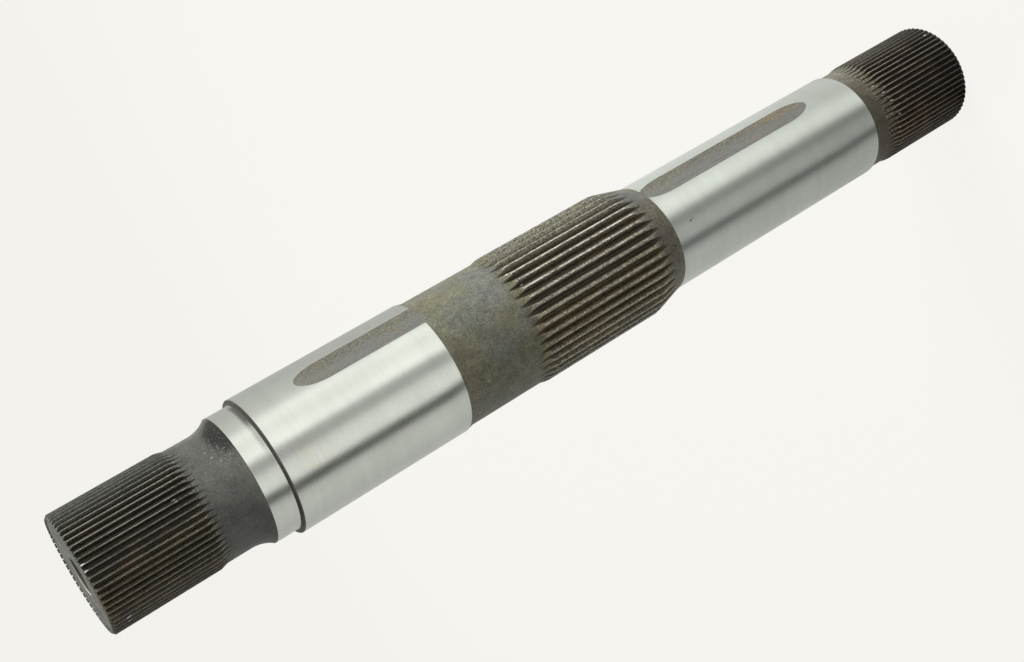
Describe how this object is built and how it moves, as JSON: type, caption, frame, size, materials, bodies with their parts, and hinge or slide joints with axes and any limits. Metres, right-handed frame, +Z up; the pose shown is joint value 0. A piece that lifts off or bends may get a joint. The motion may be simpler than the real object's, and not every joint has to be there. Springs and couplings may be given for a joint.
{
  "type": "splined shaft",
  "caption": "Stepped steel transmission shaft with fine splines at its ends, a coarser spline in the middle, ground bearing seats with shallow flats, and dark unground necks.",
  "frame": {"origin": "centre of the second end face, on the shaft's axis", "axes": "+Z up along the axis towards the first end, whose spline is next to the narrow collar seat; the flats lie about half way between -Y and +X"},
  "size_m": [0.07, 0.07, 0.5473],
  "materials": {
    "steel": "ground seats, the splines and necks dark and unground"
  },
  "bodies": {
    "root": {"splined_shaft": "steel"}
  },
  "joints": []
}
